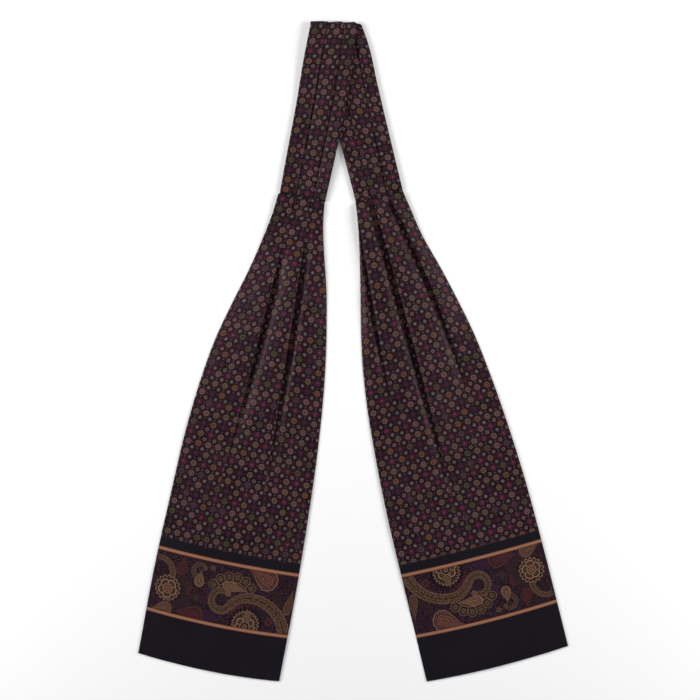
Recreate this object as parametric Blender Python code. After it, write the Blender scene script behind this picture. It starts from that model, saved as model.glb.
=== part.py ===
"""A silk day cravat laid out flat, for Blender 4.5. Metres, +Z up, resting on z = 0.

One long pleated strip makes the whole garment. Its narrow middle is the neckband, folded once
over itself at the top; the pleats open below the two tack seams into two wide blades that end
in square hems. Each piece is a closed wall lofted through sections across the strip.
"""

from collections import namedtuple
import math

import bmesh
import bpy
import numpy as np

# Cloth
WALL = 0.0014  # a blade is two layers of silk with turned edges
PIECE_GAP = 0.0003  # between neighbouring pieces
EDGE_ROUND = 0.0006  # how far a turned edge rounds back above and below its middle

# Neckband: pressed knife pleats, several layers deep
BAND_LOW = 0.0018  # height of a panel where it comes out from under its neighbour
BAND_HIGH = 0.0027  # height of a panel at its own fold edge
PLEAT_DROP = 0.0005  # how wide the step below a fold edge is
PLEATS_SEAM = (0.333, 0.700)  # where the two fold edges cross a tack seam, in widths
PLEATS_TOP_LEFT = (0.333, 0.700)  # and the top fold, on the upper half
PLEATS_TOP_RIGHT = (0.345, 0.795)  # and on the lower half

# Lapping of the two halves of the neckband
LIFT = BAND_HIGH + PIECE_GAP + 0.0002  # the upper half rides this high over the lower
LIFT_RUN = 0.014  # and comes down to the table over this distance
FOLD_DEPTH = 0.0045  # the rounded turn takes this much of the strip

# Blades
STACK = 0.0011  # hidden pleat layers under a blade at its tack seam
STACK_RUN = 0.110  # where those layers have opened out
BLADE_COLUMNS = 26
BLADE_ROWS = 30
ROW_CROWDING = 1.3  # over 1 puts more sections near the tack seam
BAND_ROWS = 13
TURN_STEPS = 6  # facets round the top fold

Edge = namedtuple("Edge", "along left right")
Fold = namedtuple("Fold", "start end at_start at_middle at_end height over under laps")
Strip = namedtuple("Strip", "seam tilt heading length start_skew end_skew bow outline")

# Middles of the two tack seams, where a blade meets its half of the neckband
LEFT_SEAM = (-0.0492, 0.1491)
RIGHT_SEAM = (0.0255, 0.1507)
BAND_LENGTH = 0.1735  # from a tack seam to the top of the fold

# Each blade runs down from its tack seam; its sections are measured across that line.
LEFT_BLADE = Strip(
    seam=LEFT_SEAM, tilt=-11.4, heading=-1, length=0.4640,
    start_skew=0, end_skew=0, bow=0.0036,
    outline=(
        Edge(0.000, -0.0234, 0.0217),
        Edge(0.020, -0.0252, 0.0244),
        Edge(0.045, -0.0296, 0.0301),
        Edge(0.080, -0.0373, 0.0396),
        Edge(0.115, -0.0470, 0.0471),
        Edge(0.150, -0.0556, 0.0532),
        Edge(0.190, -0.0616, 0.0585),
        Edge(0.240, -0.0662, 0.0631),
        Edge(0.300, -0.0682, 0.0666),
        Edge(0.370, -0.0699, 0.0692),
        Edge(0.464, -0.0687, 0.0704),
    ),
)
RIGHT_BLADE = Strip(
    seam=RIGHT_SEAM, tilt=14.2, heading=-1, length=0.4675,
    start_skew=0, end_skew=0, bow=0.0026,
    outline=(
        Edge(0.000, -0.0238, 0.0228),
        Edge(0.020, -0.0266, 0.0261),
        Edge(0.045, -0.0314, 0.0302),
        Edge(0.080, -0.0392, 0.0399),
        Edge(0.115, -0.0476, 0.0484),
        Edge(0.150, -0.0550, 0.0558),
        Edge(0.190, -0.0610, 0.0612),
        Edge(0.240, -0.0654, 0.0659),
        Edge(0.300, -0.0686, 0.0693),
        Edge(0.370, -0.0697, 0.0704),
        Edge(0.468, -0.0708, 0.0702),
    ),
)
# Each half of the neckband runs up from its tack seam to the top fold.
LEFT_BAND = Strip(
    seam=LEFT_SEAM, tilt=10.3, heading=1, length=BAND_LENGTH - FOLD_DEPTH,
    start_skew=-math.tan(math.radians(1.1)), end_skew=math.tan(math.radians(10.3)), bow=0,
    outline=(
        Edge(0.000, -0.0222, 0.0222),
        Edge(0.050, -0.0222, 0.0244),
        Edge(0.090, -0.0219, 0.0252),
        Edge(0.135, -0.0226, 0.0244),
        Edge(0.174, -0.0219, 0.0219),
    ),
)
RIGHT_BAND = Strip(
    seam=RIGHT_SEAM, tilt=-14.3, heading=1, length=BAND_LENGTH - FOLD_DEPTH,
    start_skew=0, end_skew=-math.tan(math.radians(14.3)), bow=0,
    outline=(
        Edge(0.000, -0.0235, 0.0230),
        Edge(0.050, -0.0238, 0.0236),
        Edge(0.110, -0.0238, 0.0246),
        Edge(0.155, -0.0236, 0.0256),
        Edge(0.174, -0.0230, 0.0236),
    ),
)

# The folds that open below each tack seam: along the blade, then across it. A fold's edge
# stands up and drops to one side: laps -1 drops towards -across, +1 towards +across.
LEFT_FOLDS = (
    Fold(0.000, 0.225, -0.0080, -0.0215, -0.0200, 0.0055, 0.022, 0.007, 1),
    Fold(0.000, 0.285, 0.0055, 0.0170, 0.0235, 0.0060, 0.020, 0.008, 1),
)
RIGHT_FOLDS = (
    Fold(0.015, 0.190, -0.0250, -0.0318, -0.0410, 0.0045, 0.016, 0.006, -1),
    Fold(0.000, 0.320, -0.0067, -0.0015, -0.0024, 0.0065, 0.024, 0.009, -1),
    Fold(0.000, 0.175, 0.0082, 0.0262, 0.0375, 0.0055, 0.016, 0.006, -1),
)

SILK_GROUND = (0.012, 0.009, 0.011, 1.0)
SILK_ROUGHNESS = 0.5
CREASE_ANGLE = math.radians(40)


def ease(value):
    """Smoothstep from 0 to 1."""
    t = np.clip(value, 0.0, 1.0)
    return t * t * (3.0 - 2.0 * t)


def between_rows(rows, along, column):
    """A smooth curve through one column of an outline table."""
    at = np.array([row.along for row in rows])
    value = np.array([getattr(row, column) for row in rows])
    slope = np.gradient(value, at)
    i = int(np.clip(np.searchsorted(at, along) - 1, 0, len(at) - 2))
    span = at[i + 1] - at[i]
    t = (along - at[i]) / span
    return (
        (2 * t**3 - 3 * t**2 + 1) * value[i]
        + (t**3 - 2 * t**2 + t) * span * slope[i]
        + (3 * t**2 - 2 * t**3) * value[i + 1]
        + (t**3 - t**2) * span * slope[i + 1]
    )


def place(strip, along, across):
    """The plan position of a point given in a strip's own directions."""
    t = along / strip.length
    skew = strip.start_skew + (strip.end_skew - strip.start_skew) * t
    width = strip.outline[-1].right - strip.outline[-1].left
    bow = strip.bow * t * t * (1.0 - (2.0 * across / width) ** 2)
    reach = along + skew * across + bow
    a = math.radians(strip.tilt)
    x = strip.seam[0] + reach * math.sin(a) + across * math.cos(a)
    y = strip.seam[1] + strip.heading * (reach * math.cos(a) - across * math.sin(a))
    return x, y


def fold_line(fold, along):
    """Where a fold's edge lies across the blade: a parabola through its three places."""
    t = (along - fold.start) / (fold.end - fold.start)
    bend = fold.at_middle - (fold.at_start + fold.at_end) / 2
    return fold.at_start + (fold.at_end - fold.at_start) * t + 4 * bend * t * (1 - t)


def fold_height(fold, along, across):
    """How high one fold lifts the cloth: a long slope up to its edge and a short drop."""
    t = (along - fold.start) / (fold.end - fold.start)
    if not 0.0 < t < 1.0:
        return 0.0
    envelope = ease(t / 0.35) * ease((1.0 - t) / 0.65)
    spread = 0.45 + 0.55 * ease(t / 0.4)
    past = (across - fold_line(fold, along)) * fold.laps
    reach = fold.under if past > 0 else fold.over
    return fold.height * envelope * float(ease(1.0 - abs(past) / (reach * spread)))


def blade_heights(folds, along, across):
    """Top and underside of a blade at one point."""
    lift = max(fold_height(fold, along, across) for fold in folds)
    closed = 1.0 - float(ease(along / STACK_RUN))
    underside = lift * (1.0 - closed)
    return WALL + STACK * closed + lift, underside


def band_profile(share, pleats, laps):
    """Height of the pressed pleats at a share of the band's width."""
    bounds = (0.0,) + pleats + (1.0,)
    for low, high in zip(bounds, bounds[1:]):
        if share <= high:
            t = (share - low) / (high - low)
            rise = t if laps > 0 else 1.0 - t
            return BAND_LOW + (BAND_HIGH - BAND_LOW) * rise
    return BAND_HIGH


def pleat_shares(pleats, width):
    """Shares of the width where a band's section needs a point: both sides of each step."""
    half = PLEAT_DROP / 2 / width
    shares = [0.0]
    for low, high in zip((0.0,) + pleats, pleats + (1.0,)):
        shares.append((low + high) / 2)
        if high < 1.0:
            shares += [high - half, high + half]
    return shares + [1.0]


def lower_band_distance(x, y):
    """Signed distance from the lower half's inner edge, positive over that half."""
    foot = place(RIGHT_BAND, 0.0, RIGHT_BAND.outline[0].left)
    head = place(RIGHT_BAND, RIGHT_BAND.length, RIGHT_BAND.outline[-1].left)
    run = (head[0] - foot[0], head[1] - foot[1])
    size = math.hypot(*run)
    return ((x - foot[0]) * run[1] - (y - foot[1]) * run[0]) / size


def band_lift(x, y):
    """How high the upper half rides, where it crosses the lower half and beside it."""
    return LIFT * float(ease(1.0 + lower_band_distance(x, y) / LIFT_RUN))


def section(points):
    """A closed ring through (x, y, top, underside) points, with rounded turned edges."""
    first, last = points[0], points[-1]
    span = math.hypot(last[0] - first[0], last[1] - first[1])
    inset = EDGE_ROUND / span
    inner = [list(p) for p in points]
    for here, other in ((inner[0], last), (inner[-1], first)):
        here[0] += (other[0] - here[0]) * inset
        here[1] += (other[1] - here[1]) * inset
    ring = [(first[0], first[1], (first[2] + first[3]) / 2)]
    ring += [(x, y, top) for x, y, top, _ in inner]
    ring.append((last[0], last[1], (last[2] + last[3]) / 2))
    ring += [(x, y, under) for x, y, _, under in reversed(inner)]
    return ring


def loft(bm, rings):
    """Rows of vertices through equal rings, joined by faces."""
    rows = [[bm.verts.new(point) for point in ring] for ring in rings]
    for here, following in zip(rows, rows[1:]):
        for i in range(len(here)):
            j = (i + 1) % len(here)
            bm.faces.new((here[i], here[j], following[j], following[i]))
    return rows


def close_cloth_end(bm, row):
    """Close a section with strips between its top and its underside."""
    columns = (len(row) - 2) // 2
    upper = row[1:columns + 1]
    lower = list(reversed(row[columns + 2:]))
    bm.faces.new((row[0], upper[0], lower[0]))
    bm.faces.new((row[columns + 1], upper[-1], lower[-1]))
    for i in range(columns - 1):
        bm.faces.new((upper[i], upper[i + 1], lower[i + 1], lower[i]))


def finish_piece(name, bm):
    """Turn a closed bmesh into a named object of silk."""
    bmesh.ops.triangulate(bm, faces=bm.faces[:])
    bmesh.ops.recalc_face_normals(bm, faces=bm.faces[:])
    mesh = bpy.data.meshes.new(name)
    bm.to_mesh(mesh)
    bm.free()
    mesh.shade_smooth()
    mesh.set_sharp_from_angle(angle=CREASE_ANGLE)
    mesh.materials.append(silk("silk_" + name))
    piece = bpy.data.objects.new(name, mesh)
    bpy.context.scene.collection.objects.link(piece)


def silk(name):
    """Printed silk twill."""
    material = bpy.data.materials.new(name)
    material.use_nodes = True
    shader = material.node_tree.nodes["Principled BSDF"]
    shader.inputs["Base Color"].default_value = SILK_GROUND
    shader.inputs["Roughness"].default_value = SILK_ROUGHNESS
    shader.inputs["Metallic"].default_value = 0.0
    return material


def cloth_piece(name, rings):
    """A closed wall of cloth through its sections."""
    bm = bmesh.new()
    rows = loft(bm, rings)
    close_cloth_end(bm, rows[0])
    close_cloth_end(bm, rows[-1])
    finish_piece(name, bm)


def blade(name, strip, folds):
    """A blade, from its tack seam to its hem."""
    first = PIECE_GAP / 2
    rings = []
    for row in range(BLADE_ROWS):
        along = first + (strip.length - first) * (row / (BLADE_ROWS - 1)) ** ROW_CROWDING
        left = between_rows(strip.outline, along, "left")
        right = between_rows(strip.outline, along, "right")
        points = []
        for across in np.linspace(left, right, BLADE_COLUMNS):
            x, y = place(strip, along, across)
            points.append((x, y) + blade_heights(folds, along, across))
        rings.append(section(points))
    cloth_piece(name, rings)


def band(name, strip, top_pleats, laps, lifted):
    """Half of the neckband, from its tack seam to the top fold."""
    first = PIECE_GAP / 2
    rings = []
    for row in range(BAND_ROWS):
        t = row / (BAND_ROWS - 1)
        along = first + (strip.length - first) * t
        left = between_rows(strip.outline, along, "left")
        right = between_rows(strip.outline, along, "right")
        pleats = tuple(a + (b - a) * t for a, b in zip(PLEATS_SEAM, top_pleats))
        points = []
        for share in pleat_shares(pleats, right - left):
            x, y = place(strip, along, left + (right - left) * share)
            base = band_lift(x, y) if lifted else 0.0
            points.append((x, y, base + band_profile(share, pleats, laps), base))
        rings.append(section(points))
    cloth_piece(name, rings)


def turn(name):
    """The rounded turn at the top fold, D-shaped in section, as wide as the upper half."""
    left = place(LEFT_BAND, LEFT_BAND.length, LEFT_BAND.outline[-1].left)
    right = place(LEFT_BAND, LEFT_BAND.length, LEFT_BAND.outline[-1].right)
    depth = FOLD_DEPTH - PIECE_GAP
    rings = []
    for share in pleat_shares(PLEATS_TOP_LEFT, right[0] - left[0]):
        x = left[0] + (right[0] - left[0]) * share
        back = left[1] + (right[1] - left[1]) * share + PIECE_GAP
        radius = (LIFT + band_profile(share, PLEATS_TOP_LEFT, 1)) / 2
        ring = []
        for step in range(TURN_STEPS + 1):
            angle = math.pi * (step / TURN_STEPS - 0.5)
            ring.append((x, back + depth * math.cos(angle), radius * (1 + math.sin(angle))))
        rings.append(ring)
    bm = bmesh.new()
    rows = loft(bm, rings)
    bm.faces.new(rows[0])
    bm.faces.new(rows[-1])
    finish_piece(name, bm)


for old in list(bpy.data.objects):
    bpy.data.objects.remove(old, do_unlink=True)

blade("blade_left", LEFT_BLADE, LEFT_FOLDS)
blade("blade_right", RIGHT_BLADE, RIGHT_FOLDS)
band("neckband_left", LEFT_BAND, PLEATS_TOP_LEFT, 1, True)
band("neckband_right", RIGHT_BAND, PLEATS_TOP_RIGHT, -1, False)
turn("neckband_fold")
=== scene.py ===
# %% [markdown]
# # A silk day cravat, laid out flat
# A day cravat is one long strip of printed silk twill. Its narrow middle is pressed into three
# knife pleats and tacked, and goes round the neck. Below the tack seams the pleats open into
# two wide blades. Here it is folded once at the neck and laid on a pale table.
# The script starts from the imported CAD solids: they say where each piece lies.

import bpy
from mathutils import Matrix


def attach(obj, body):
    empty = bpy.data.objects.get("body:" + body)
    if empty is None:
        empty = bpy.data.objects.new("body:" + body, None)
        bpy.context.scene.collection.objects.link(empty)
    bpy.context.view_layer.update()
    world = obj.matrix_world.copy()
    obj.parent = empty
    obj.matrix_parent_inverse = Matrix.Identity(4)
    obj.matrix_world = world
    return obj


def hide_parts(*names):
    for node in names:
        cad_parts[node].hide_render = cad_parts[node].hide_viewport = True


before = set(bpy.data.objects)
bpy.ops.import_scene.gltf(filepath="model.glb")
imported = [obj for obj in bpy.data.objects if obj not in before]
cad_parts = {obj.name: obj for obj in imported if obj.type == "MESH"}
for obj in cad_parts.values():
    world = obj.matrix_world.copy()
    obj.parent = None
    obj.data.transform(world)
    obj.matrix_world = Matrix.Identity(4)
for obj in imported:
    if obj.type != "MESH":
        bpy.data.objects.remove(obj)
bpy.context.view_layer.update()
print("nodes:", sorted(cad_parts))

# %% Tools
from collections import namedtuple
import math

import bpy
import numpy as np
from mathutils import Vector, noise

MM = 0.001


def linear(colour):
    """An sRGB hex colour as linear RGBA."""
    parts = [int(colour[i:i + 2], 16) / 255 for i in (1, 3, 5)]
    return [c / 12.92 if c <= 0.04045 else ((c + 0.055) / 1.055) ** 2.4 for c in parts] + [1.0]


def placed(name, data):
    """A new object of this data, linked to the scene."""
    thing = bpy.data.objects.new(name, data)
    bpy.context.scene.collection.objects.link(thing)
    return thing


def ease(value):
    """Smoothstep from 0 to 1."""
    t = np.clip(value, 0.0, 1.0)
    return t * t * (3.0 - 2.0 * t)


# %% [markdown]
# ## Table, light and camera
# Flat cloth is shown from straight above with a long lens, so that nothing leans.
# Three large soft lights, one at each side and one beyond the fold, show the pleats by their
# shading and leave no hard shadow. A matt white floor, added last, acts as the paper sweep.

# %% Camera straight above
VIEW_WIDTH = 0.679  # metres of table across the view
EYE_HEIGHT = 2.0
VIEW_CENTRE = (-0.0031, 0.0016)

camera_data = bpy.data.cameras.new("camera")
camera_data.lens = camera_data.sensor_width * EYE_HEIGHT / VIEW_WIDTH
camera = placed("camera", camera_data)
camera.location = (*VIEW_CENTRE, EYE_HEIGHT)
bpy.context.scene.camera = camera
print("lens", round(camera_data.lens, 1), "mm")

# %% Soft lights
Light = namedtuple("Light", "name x y z size power")
LIGHTS = (
    Light("left_softbox", -1.35, 0.15, 0.70, 0.9, 23.0),
    Light("right_softbox", 1.35, 0.10, 0.70, 0.9, 22.0),
    Light("top_softbox", -0.15, 1.25, 1.10, 1.0, 8.0),
)
for lamp in LIGHTS:
    data = bpy.data.lights.new(lamp.name, "AREA")
    data.shape = "DISK"
    data.size = lamp.size
    data.energy = lamp.power
    light = placed(lamp.name, data)
    light.location = (lamp.x, lamp.y, lamp.z)
    light.rotation_mode = "QUATERNION"
    light.rotation_quaternion = light.location.to_track_quat("Z", "Y")

world = bpy.data.worlds.new("studio")
world.use_nodes = True
backdrop = world.node_tree.nodes["Background"].inputs
backdrop["Color"].default_value = (1, 1, 1, 1)
backdrop["Strength"].default_value = 0.12
bpy.context.scene.world = world
bpy.context.scene.view_settings.view_transform = "Standard"  # plain whites, for a white table
print(len(LIGHTS), "soft lights")

# %% [markdown]
# ## The strips, read from the frame
# Each blade and each half of the neckband is a strip with its own direction. The places
# of the tack seams and the tilts repeat the CAD's sizes; the edges are measured by cutting the
# CAD solids across, so the cloth follows them whatever their outline.

# %% Directions of the four strips
LEFT_SEAM = (-0.0492, 0.1491)
RIGHT_SEAM = (0.0255, 0.1507)
FOLD_DEPTH = 0.0045
BAND_LENGTH = 0.1735 - FOLD_DEPTH  # from tack seam to fold
Strip = namedtuple("Strip", "node seam tilt heading length start_skew end_skew bow")
BLADE_LEFT = Strip("blade_left", LEFT_SEAM, -11.4, -1, 0.4640, 0, 0, 0.0036)
BLADE_RIGHT = Strip("blade_right", RIGHT_SEAM, 14.2, -1, 0.4675, 0, 0, 0.0026)
BAND_LEFT = Strip(
    "neckband_left", LEFT_SEAM, 10.3, 1, BAND_LENGTH,
    -math.tan(math.radians(1.1)), math.tan(math.radians(10.3)), 0,
)
BAND_RIGHT = Strip(
    "neckband_right", RIGHT_SEAM, -14.3, 1, BAND_LENGTH, 0, -math.tan(math.radians(14.3)), 0,
)


def directions(strip):
    """Unit vectors along a strip, away from its tack seam, and across it to the right."""
    a = math.radians(strip.tilt)
    along = np.array([math.sin(a), strip.heading * math.cos(a)])
    across = np.array([math.cos(a), -strip.heading * math.sin(a)])
    return along, across


END_ROUNDING = 0.0015
HALF_BAND = 0.030
RUN_ON = 0.008  # how far the edges are carried on past the ends


def measured_edges(strip, cuts=150):
    """Distances along a strip, and its CAD node's left and right edges there.

    The ends are rounded and cut askew, so the cuts stop short of them and the edges run on straight.
    """
    first_cut = END_ROUNDING + HALF_BAND * abs(strip.start_skew)
    last_cut = strip.length - END_ROUNDING - HALF_BAND * abs(strip.end_skew)
    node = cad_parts[strip.node]
    plan = np.array([(node.matrix_world @ v.co)[:2] for v in node.data.vertices])
    along, across = directions(strip)
    reach = (plan - strip.seam) @ along
    side = (plan - strip.seam) @ across
    first, second = np.array([edge.vertices[:] for edge in node.data.edges]).T
    rows = []
    for at in np.linspace(first_cut, last_cut, cuts):
        before, after = reach[first] - at, reach[second] - at
        cut = before * after < 0
        share = before[cut] / (before[cut] - after[cut])
        places = side[first][cut] + (side[second][cut] - side[first][cut]) * share
        rows.append((at, places.min(), places.max()))
    rows = np.array(rows)
    start = rows[0] + (rows[0] - rows[4]) * (first_cut + RUN_ON) / (rows[4, 0] - rows[0, 0])
    end = rows[-1] + (rows[-1] - rows[-5]) * (strip.length + RUN_ON - last_cut) / (rows[-1, 0] - rows[-5, 0])
    return np.vstack([start, rows, end])


EDGES = {s.node: measured_edges(s) for s in (BLADE_LEFT, BLADE_RIGHT, BAND_LEFT, BAND_RIGHT)}
for name, rows in EDGES.items():
    print(name, "is", round((rows[:, 2] - rows[:, 1]).max() / MM, 1), "mm wide at most")


def edges_at(strip, along, mirrored=False):
    """The strip's left and right edge at one distance, where its sections may be skewed."""
    at, *sides = EDGES[strip.node].T
    skew = strip.start_skew + (strip.end_skew - strip.start_skew) * along / strip.length
    left, right = (np.interp(along + skew * np.interp(along, at, side), at, side) for side in sides)
    return (-right, -left) if mirrored else (left, right)


def place(strip, along, across):
    """Plan positions of points given in a strip's own directions."""
    t = along / strip.length
    skew = strip.start_skew + (strip.end_skew - strip.start_skew) * t
    width = EDGES[strip.node][-2, 2] - EDGES[strip.node][-2, 1]
    bow = strip.bow * t * t * (1.0 - (2.0 * across / width) ** 2)
    reach = along + skew * across + bow
    forward, sideways = directions(strip)
    return np.array(strip.seam) + np.outer(reach, forward) + np.outer(across, sideways)


# %% [markdown]
# ## Knife pleats by their sections
# A pleat is a zigzag: the cloth runs out to a fold edge, back underneath to a hidden fold,
# and out again. One section across the strip is that zigzag with its corners rounded, drawn
# as a quadratic B-spline, which is a parabola round every corner. How deep the pleats go under
# is not guessed. Silk does not stretch, so the depth is found by halving until the section
# is as long as the cloth is wide. Where the outline is narrow the pleats close by
# themselves, and where it widens they open into soft waves.

# %% One section
CLOTH_WIDTH = 0.1400
THICKNESS = 0.00040  # two layers of silk twill
COLUMNS = 132
Pleat = namedtuple("Pleat", "edge crest rounding share valley shoulder puff")


def rounded(corners, steps=14):
    """A quadratic B-spline along corner points."""
    p = np.array(corners)
    middle = (p[1:] + p[:-1]) / 2
    t = np.linspace(0, 1, steps, endpoint=False)[:, None]
    arcs = [
        (1 - t) ** 2 * middle[k - 1] + 2 * t * (1 - t) * p[k] + t ** 2 * middle[k]
        for k in range(1, len(p) - 1)
    ]
    return np.vstack([p[:1], *arcs, middle[-1:], p[-1:]])


def zigzag(left, right, pleats, edge_height, depth):
    """One section with pleats that lap to the right, as (across, height) points."""
    corners = [(left, edge_height)]
    following = [(pleat.edge, pleat.crest) for pleat in pleats[1:]] + [(right, 0.0)]
    for pleat, (beyond, next_crest) in zip(pleats, following):
        room = max(beyond - pleat.edge, 0.002)
        lap = np.clip(depth * pleat.share, -0.55 * room, pleat.edge - left - 0.0008)
        back = pleat.edge - lap
        drop = 2 * pleat.rounding
        corners += [(pleat.edge, pleat.crest), (pleat.edge, pleat.crest - drop), (back, drop), (back, 0.0)]
        if pleat.puff > 0:
            foot = max(back, pleat.edge)
            valley = min(pleat.valley, 0.6 * max(beyond - foot, 0.0))
            slope = next_crest / max(beyond - back, 0.001)
            for reach, height in ((0.35 * valley, 0.0), (valley, pleat.shoulder * valley / pleat.valley)):
                ramp = (foot + reach - back) * slope
                corners.append((foot + reach, ramp + (height - ramp) * pleat.puff))
    corners.append((right, 0.0))
    return rounded(corners)


def lengths(curve):
    """Distance along a curve at each of its points."""
    steps = np.linalg.norm(np.diff(curve, axis=0), axis=1)
    return np.concatenate([[0.0], np.cumsum(steps)])


def closing_depth(left, right, pleats, edge_height):
    """The pleat depth at which the section is as long as the cloth is wide."""
    shallow, deep = -0.030, 0.030
    for _ in range(30):
        depth = (shallow + deep) / 2
        if lengths(zigzag(left, right, pleats, edge_height, depth))[-1] < CLOTH_WIDTH:
            shallow = depth
        else:
            deep = depth
    return depth


def resampled(curve):
    """The curve at COLUMNS points, closer where it turns, and its distances in cloth."""
    at = lengths(curve)
    keep = np.concatenate([[True], np.diff(at) > 1e-7])
    curve, at = curve[keep], at[keep]
    even = np.linspace(0, at[-1], 1600)
    fine = np.stack([np.interp(even, at, curve[:, k]) for k in (0, 1)], axis=1)
    heading = np.unwrap(np.arctan2(*np.gradient(fine, axis=0).T[::-1]))
    turning = np.abs(np.gradient(heading, even))
    turning = np.convolve(np.pad(turning, 12, "edge"), np.ones(25) / 25, "valid")
    weight = np.cumsum(1.0 + 0.004 * np.minimum(turning, 2500.0))
    weight = (weight - weight[0]) / (weight[-1] - weight[0])
    chosen = np.interp(np.linspace(0, 1, COLUMNS), weight, even)
    points = np.stack([np.interp(chosen, even, fine[:, k]) for k in (0, 1)], axis=1)
    return points, chosen * CLOTH_WIDTH / at[-1]


print("a section has", COLUMNS, "points")

# %% [markdown]
# ## From sections to a sheet of cloth
# The sections are stacked along the strip and given the thickness of the silk, by moving each
# point half the thickness to either side. Doing this by hand instead of with Solidify keeps
# two UV maps in real metres of cloth: one for the all-over print, one for the border.

# %% A thin closed sheet from its rows
Row = namedtuple("Row", "centres normals across along border")


def sheet_rows(strip, alongs, section_at, base_at, mirrored, cloth_at, border_at):
    """Rows of a strip: where its middle surface is, its normals and its cloth distances."""
    _, sideways = directions(strip)
    rows = []
    for along in alongs:
        points, cloth = section_at(along)
        if mirrored:
            points = points[::-1] * (-1, 1)
            cloth = CLOTH_WIDTH - cloth[::-1]
        heading = np.gradient(points, axis=0)
        heading /= np.linalg.norm(heading, axis=1)[:, None]
        plan = place(strip, along, points[:, 0])
        height = points[:, 1] + base_at(plan, along, cloth)
        normals = np.column_stack([np.outer(-heading[:, 1], sideways), heading[:, 0]])
        rows.append(Row(
            np.column_stack([plan, height]), normals, cloth,
            np.full(COLUMNS, cloth_at(along)), border_at(cloth, along),
        ))
    return rows


def cloth_object(name, rows, thickness=THICKNESS):
    """A closed sheet through rows, with UV maps of the cloth and of its border."""
    half = thickness / 2
    rings, cloth_uv, border_uv = [], [], []
    for row in rows:
        front = row.centres + row.normals * half
        back = row.centres - row.normals * half
        first = row.centres[0] + (row.centres[0] - row.centres[1]) * 0.15
        last = row.centres[-1] + (row.centres[-1] - row.centres[-2]) * 0.15
        rings.append(np.vstack([first[None], front, last[None], back[::-1]]))
        for found, values in ((cloth_uv, (row.across, row.along)), (border_uv, row.border)):
            pair = np.column_stack(values)
            found.append(np.vstack([pair[:1], pair, pair[-1:], pair[::-1]]))
    count = len(rings[0])
    faces = []
    for r in range(len(rings) - 1):
        for i in range(count):
            j = (i + 1) % count
            faces.append((r * count + i, (r + 1) * count + i, (r + 1) * count + j, r * count + j))
    for r, turn in ((0, 1), (len(rings) - 1, -1)):
        start = r * count
        columns = (count - 2) // 2
        front = [start + 1 + i for i in range(columns)]
        back = [start + count - 1 - i for i in range(columns)]
        for i in range(columns - 1):
            faces.append((front[i], front[i + 1], back[i + 1], back[i])[::turn])
        faces.append((start, front[0], back[0])[::turn])
        faces.append((front[-1], start + columns + 1, back[-1])[::turn])
    mesh = bpy.data.meshes.new(name)
    mesh.from_pydata(np.vstack(rings).tolist(), [], faces)
    for title, values in (("Cloth", cloth_uv), ("Border", border_uv)):
        layer = mesh.uv_layers.new(name=title)
        index = np.zeros(len(mesh.loops), dtype=np.int32)
        mesh.loops.foreach_get("vertex_index", index)
        layer.data.foreach_set("uv", np.vstack(values)[index].astype(np.float32).ravel())
    mesh.shade_smooth()
    mesh.set_sharp_from_angle(angle=math.radians(75))
    mesh.update()
    print(name, len(mesh.polygons) * 2, "triangles,", round(mesh_volume(mesh) * 1e6, 1), "cm3")
    return placed(name, mesh)


def mesh_volume(mesh):
    """Signed volume, which is positive when the faces point out."""
    mesh.calc_loop_triangles()
    p = np.array([v.co[:] for v in mesh.vertices])
    t = np.array([tri.vertices[:] for tri in mesh.loop_triangles])
    return float((p[t[:, 0]] * np.cross(p[t[:, 1]], p[t[:, 2]])).sum() / 6)


# %% [markdown]
# ## The neckband
# The pleats of the neckband are pressed flat and keep their places, so every section is the
# same zigzag fitted to the edges. The left half lies on top of the right one near the
# fold, and comes down to the table beside it. The half beneath is the same strip turned
# over, so its fold edges face the other way.

# %% Both halves of the neckband
BASE = 0.00035  # middle of the lowest layer above the table
BAND_CREST, BAND_ROUNDING = 0.0023, 0.00024  # height of a pleat's edge, and how round it is
BAND_VALLEY = 0.0030  # width of the shadowed groove beside each pleat
SEAM_PINCH, PINCH_RUN = 0.66, 0.0013  # the tack stitches hold the pleats down
LIFT, LIFT_RUN = 0.0032, 0.034  # the upper half's height over the lower one, and its way down
BAND_SHARES_LEFT = ((0.333, 0.333), (0.700, 0.700), (0.995, 0.995))
BAND_SHARES_RIGHT = ((0.310, 0.205), (0.667, 0.655), (0.995, 0.995))


def pinch(along):
    """How far the tack stitches let the pleats rise, near a seam."""
    return 1.0 - SEAM_PINCH * math.exp(-(along / PINCH_RUN) ** 2)


def band_section(strip, shares, mirrored):
    """A function that gives the neckband's section at any distance."""
    def at(along):
        left, right = edges_at(strip, along, mirrored)
        t = along / strip.length
        crest = BAND_CREST * pinch(along)
        rounding = BAND_ROUNDING * pinch(along)
        shoulder = 0.7 * crest
        pleats = [
            Pleat(left + (right - left) * (a + (b - a) * t), crest, rounding, 1.0, BAND_VALLEY, shoulder, 1.0)
            for a, b in shares
        ]
        depth = closing_depth(left, right, pleats, crest * 0.95)
        return resampled(zigzag(left, right, pleats, crest * 0.95, depth))
    return at


def lower_band_distance(plan):
    """Signed distance of plan points from the lower half's inner edge."""
    rows = EDGES[BAND_RIGHT.node]
    foot = place(BAND_RIGHT, 0.0, rows[1:2, 1])[0]
    head = place(BAND_RIGHT, BAND_LENGTH, rows[-2:-1, 1])[0]
    run = (head - foot) / np.linalg.norm(head - foot)
    return (plan[:, 0] - foot[0]) * run[1] - (plan[:, 1] - foot[1]) * run[0]


PUCKER = 0.00030  # height of the small gathers that the stitches pull up
PUCKER_RUN = 0.011


def puckers(along, cloth):
    """Little ridges that run out of a tack seam and die away within a fingertip."""
    strength = PUCKER * math.exp(-along / PUCKER_RUN) * (1.0 - math.exp(-(along / 0.0012) ** 2))
    if strength < 0.000004:
        return np.zeros(len(cloth))
    return strength * np.array([noise.noise(Vector((u * 230, along * 40, 5.3))) for u in cloth])


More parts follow.
